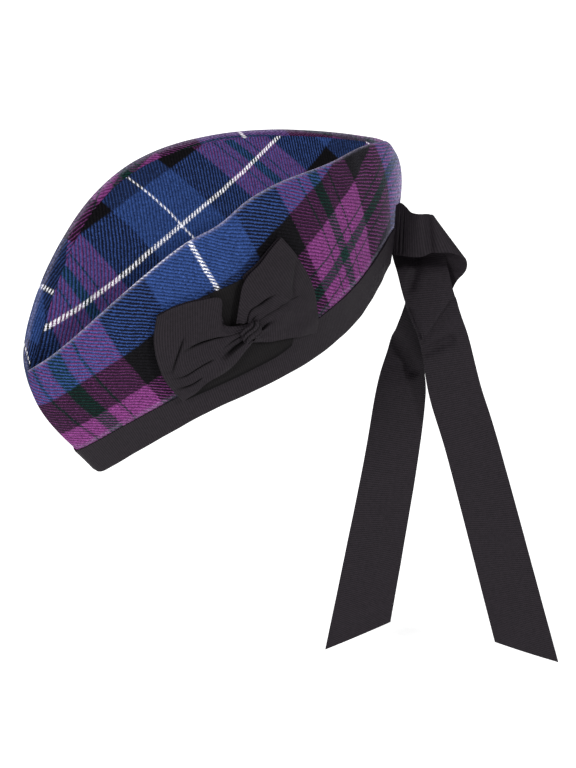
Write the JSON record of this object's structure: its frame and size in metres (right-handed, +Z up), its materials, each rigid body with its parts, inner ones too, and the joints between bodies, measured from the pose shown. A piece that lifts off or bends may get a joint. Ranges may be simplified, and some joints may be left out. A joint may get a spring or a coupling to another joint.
{
  "type": "glengarry",
  "caption": "Boat-shaped tartan wool cap that folds along its crown, bound with black ribbon, with a ribbon bow cockade on the wearer's left and ribbon tails behind.",
  "frame": {"origin": "middle of the head opening, where the cap sits on a head", "axes": "+Z up against gravity, front of the cap towards -Y, back and tails towards +Y, wearer's left (the cockade side) towards +X; the cap is tipped front-down as it is worn and its tails hang along -Z"},
  "size_m": [0.1397, 0.3695, 0.368],
  "materials": {
    "tartan": "wool twill tartan, blue, purple, black and dark green with a thin white line, matt",
    "ribbon": "black woven ribbon, matt with a faint sheen"
  },
  "bodies": {
    "root": {"side_left": "tartan", "side_right": "tartan", "crown_top": "tartan", "band": "ribbon", "bow_backing": "ribbon", "bow_loop_front": "ribbon", "bow_loop_back": "ribbon", "bow_knot": "ribbon", "tail_left": "ribbon", "tail_right": "ribbon"}
  },
  "joints": []
}
